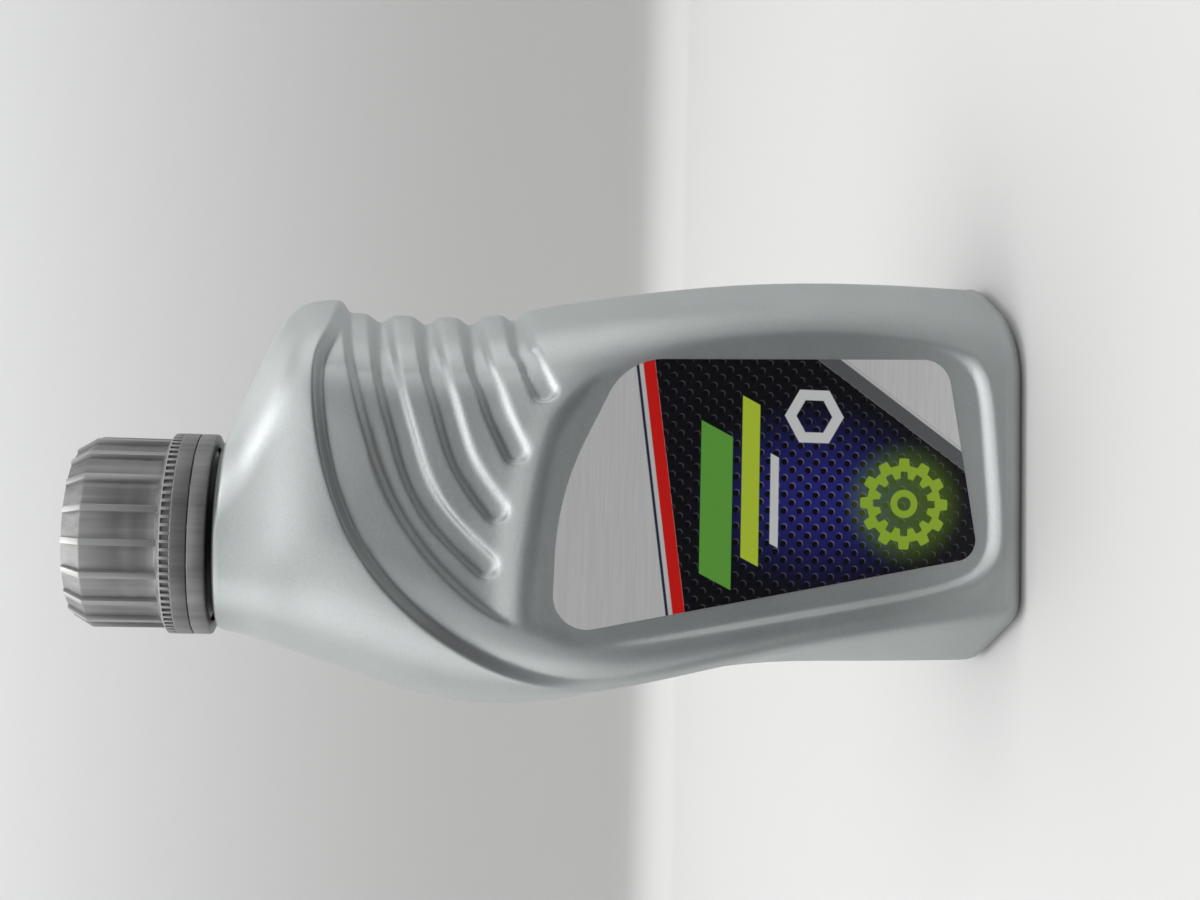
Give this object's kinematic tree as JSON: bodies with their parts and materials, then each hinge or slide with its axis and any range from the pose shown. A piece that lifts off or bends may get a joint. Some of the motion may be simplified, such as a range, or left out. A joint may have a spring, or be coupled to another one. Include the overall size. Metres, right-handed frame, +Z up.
{
  "type": "motor oil bottle",
  "caption": "Blow-moulded half-litre motor oil bottle with an off-centre neck, finger grooves, a recessed label panel and a ribbed screw cap over a tamper band.",
  "frame": {"origin": "on the surface that the bottle stands on, at the middle of its overall width and depth", "axes": "+Z up, the label faces -Y, the finger grip is on +X and the neck stands towards -X"},
  "size_m": [0.097, 0.0516, 0.2003],
  "materials": {
    "bottle_plastic": "satin silver-grey polyethylene with a fine grain",
    "cap_plastic": "satin mid-grey polypropylene",
    "liner_foam": "matt white foam",
    "label_film": "printed film with silver, black, blue, red and green fields"
  },
  "bodies": {
    "bottle": {"bottle": "bottle_plastic", "tamper_band": "cap_plastic", "front_label": "label_film"},
    "liner": {"cap_liner": "liner_foam"},
    "cap": {"screw_cap": "cap_plastic"}
  },
  "joints": [
    {"name": "cap_lift", "type": "slide", "parent": "bottle", "child": "liner", "axis": [0, 0, 1], "range_m": [0, 0.0061]},
    {"name": "cap_turn", "type": "hinge", "parent": "liner", "child": "cap", "pos_m": [-0.0128, 0, 0.186], "axis": [0, 0, 1], "range_deg": [0, 540]}
  ],
  "couplings": [
    {"joint": "cap_lift", "follows": "cap_turn", "m_per_rad": 0.00063662}
  ]
}
